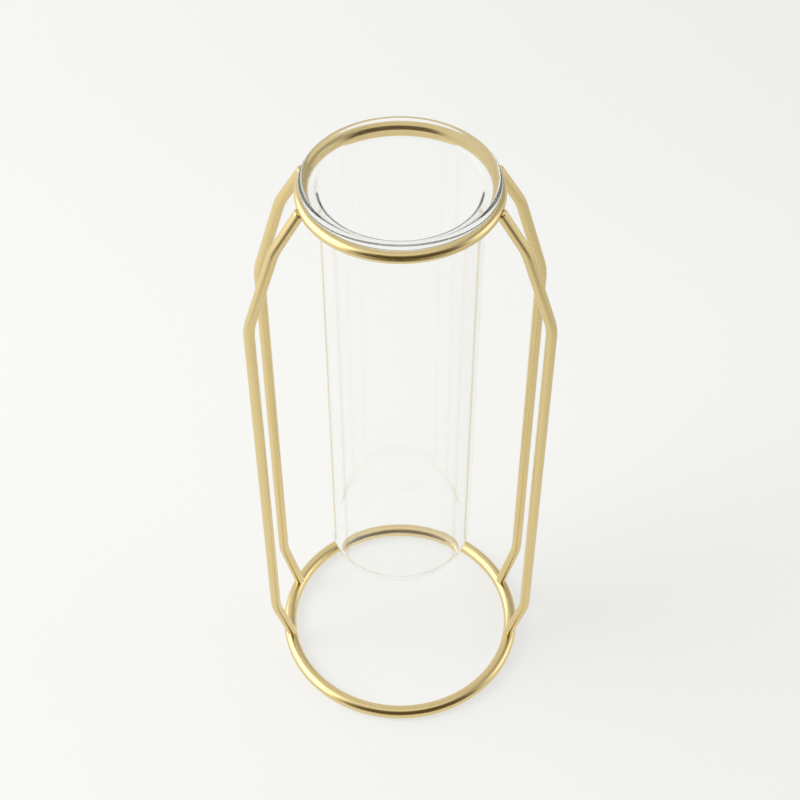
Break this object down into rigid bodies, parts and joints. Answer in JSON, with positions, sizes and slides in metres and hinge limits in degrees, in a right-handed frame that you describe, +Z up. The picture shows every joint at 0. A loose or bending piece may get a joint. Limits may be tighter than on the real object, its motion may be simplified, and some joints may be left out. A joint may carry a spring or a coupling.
{
  "type": "tube vase on a wire stand",
  "caption": "Clear glass tube vase with a flared lip, hung in the top ring of a gold wire stand with bent legs and a round base ring; the tube lifts out for filling and cleaning.",
  "frame": {"origin": "centre of the base ring, on the surface that the vase stands on", "axes": "+Z up along the tube, -Y towards the front of the vase, +X to its right as seen from the front"},
  "size_m": [0.0812, 0.076, 0.1858],
  "materials": {
    "clear_glass": "polished clear",
    "satin_gold": "satin, finely brushed along the wire"
  },
  "bodies": {
    "stand": {"top_ring": "satin_gold", "base_ring": "satin_gold", "leg_front_left": "satin_gold", "leg_front_right": "satin_gold", "leg_back_left": "satin_gold", "leg_back_right": "satin_gold"},
    "tube": {"glass_tube": "clear_glass"}
  },
  "joints": [
    {"name": "tube_lift", "type": "slide", "parent": "stand", "child": "tube", "axis": [0, 0, 1], "range_m": [0, 0.14]}
  ]
}
